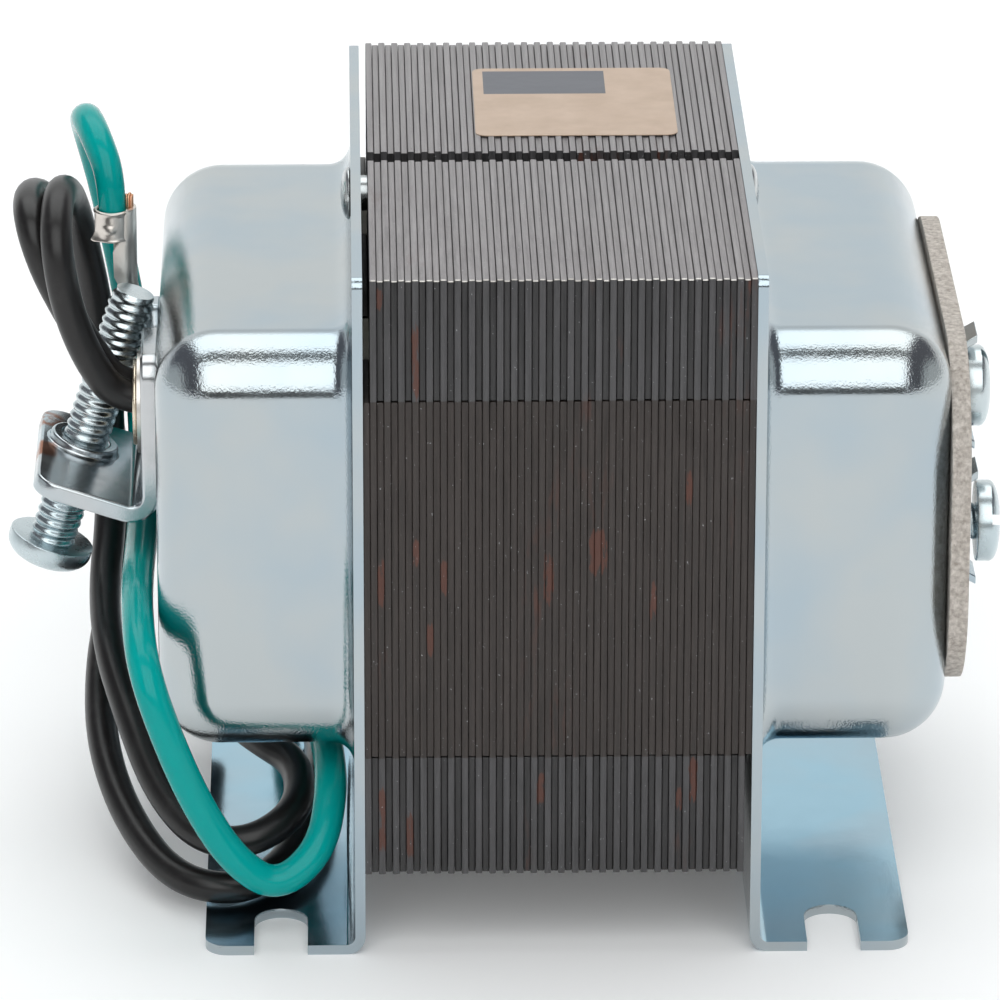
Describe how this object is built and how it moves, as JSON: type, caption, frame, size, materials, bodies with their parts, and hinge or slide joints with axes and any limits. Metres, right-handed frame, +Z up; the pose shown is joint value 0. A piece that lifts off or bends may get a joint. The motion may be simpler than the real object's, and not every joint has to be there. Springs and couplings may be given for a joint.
{
  "type": "doorbell transformer",
  "caption": "Doorbell transformer: laminated steel core between two drawn end bells with slotted feet, knockout clamp with three leads at one end, terminal board with two screws at the other.",
  "frame": {"origin": "Middle of the bounding box without the leads in X and Y, on the plane of the feet's undersides.", "axes": "+X from the clamp end to the terminal end (the longest extent), +Y from the front of the picture to the back, +Z up."},
  "size_m": [0.0904, 0.0666, 0.0653],
  "materials": {
    "core_steel": "varnished silicon steel edges, mauve grey, a little rust",
    "rivet_steel": "plated rivet heads",
    "zinc_plate": "bright bluish zinc plate",
    "zinc_screw": "bright zinc plated screws",
    "eyelet_brass": "dull brass",
    "lug_tin": "tinned sheet",
    "bobbin_nylon": "moulded nylon",
    "copper_wire": "copper",
    "wrap_tape": "insulating tape",
    "fibre_board": "vulcanised fibre, rough edge",
    "label_paper": "printed film label, bare",
    "black_lead": "satin insulation",
    "green_lead": "glossy insulation"
  },
  "bodies": {
    "root": {"laminated_core": "core_steel", "core_rivets": "rivet_steel", "primary_end_bell": "zinc_plate", "secondary_end_bell": "zinc_plate", "bobbin": "bobbin_nylon", "primary_winding": "copper_wire", "secondary_winding": "copper_wire", "winding_wraps": "wrap_tape", "clamp_bracket": "zinc_plate", "clamp_screw": "zinc_screw", "lead_eyelet": "eyelet_brass", "ground_lug": "lug_tin", "ground_strand": "copper_wire", "terminal_board": "fibre_board", "board_rivets": "rivet_steel", "terminal_plate_upper": "zinc_plate", "terminal_plate_lower": "zinc_plate", "terminal_screws": "zinc_screw", "secondary_tails": "copper_wire", "lead_splices": "black_lead", "rating_label": "label_paper", "black_lead_near": "black_lead", "black_lead_far": "black_lead", "green_lead": "green_lead"}
  },
  "joints": []
}
